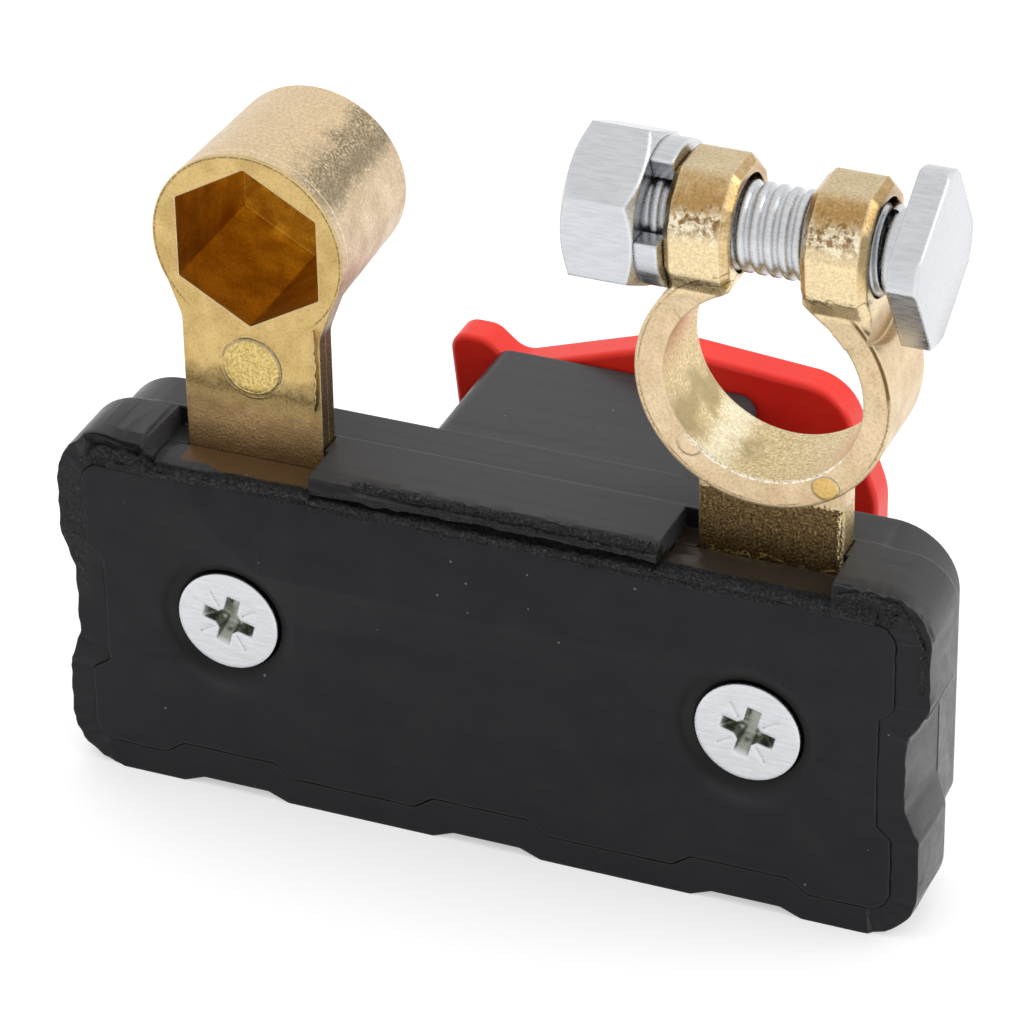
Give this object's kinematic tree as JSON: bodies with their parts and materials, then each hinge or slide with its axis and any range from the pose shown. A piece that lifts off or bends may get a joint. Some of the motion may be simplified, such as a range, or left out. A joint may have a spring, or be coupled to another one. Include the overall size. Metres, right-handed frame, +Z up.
{
  "type": "battery disconnect switch",
  "caption": "Quarter-turn battery disconnect switch: slim moulded case with a tapered terminal post, a split clamp ring with its bolt, and a flat turning lever on the back.",
  "frame": {"origin": "middle of the box round the whole switch, on the plane that its lower edge stands on", "axes": "+X along the case from the post to the clamp ring, +Y from the screwed cover towards the lever, +Z up out of the terminal slots"},
  "size_m": [0.082, 0.035, 0.0706],
  "materials": {
    "case_plastic": "black glass-filled plastic, satin with rough torn flash",
    "lever_plastic": "bright red plastic, half gloss",
    "cast_brass": "pale cast brass, grainy, polished at the ears",
    "zinc_steel": "bright zinc plate with a bluish tone",
    "turned_steel": "turned and ground",
    "spring_steel": "plain spring steel",
    "seal_rubber": "matt black rubber",
    "rotor_plastic": "natural moulded plastic",
    "contact_copper": "plain rolled copper"
  },
  "bodies": {
    "case": {"housing": "case_plastic", "back_cover": "case_plastic", "cover_screws": "zinc_steel", "post_terminal": "cast_brass", "clamp_terminal": "cast_brass", "stop_pin": "turned_steel", "thrust_washer": "turned_steel", "disc_spring": "spring_steel"},
    "lever": {"handle": "lever_plastic", "handle_washer": "zinc_steel", "handle_screw": "zinc_steel", "spindle": "turned_steel", "spindle_seal": "seal_rubber", "rotor": "rotor_plastic", "contact_bridge": "contact_copper", "bridge_clip": "spring_steel", "contact_spring": "spring_steel"},
    "bolt": {"clamp_bolt": "zinc_steel"},
    "washer": {"lock_washer": "zinc_steel"},
    "nut": {"clamp_nut": "zinc_steel"}
  },
  "joints": [
    {"name": "lever_turn", "type": "hinge", "parent": "case", "child": "lever", "pos_m": [0.003, 0.00932, 0.0215], "axis": [0, -1, 0], "range_deg": [0, 90]},
    {"name": "bolt_slide", "type": "slide", "parent": "case", "child": "bolt", "axis": [1, 0, 0], "range_m": [-0.00235, 0]},
    {"name": "washer_travel", "type": "slide", "parent": "bolt", "child": "washer", "axis": [1, 0, 0], "range_m": [-0.00625, 0]},
    {"name": "nut_turn", "type": "hinge", "parent": "washer", "child": "nut", "pos_m": [0.01, -0.009, 0.06305], "axis": [1, 0, 0], "range_deg": [-1803, 0]}
  ],
  "couplings": [
    {"joint": "nut_turn", "follows": "washer_travel", "rad_per_m": 5026.5}
  ]
}
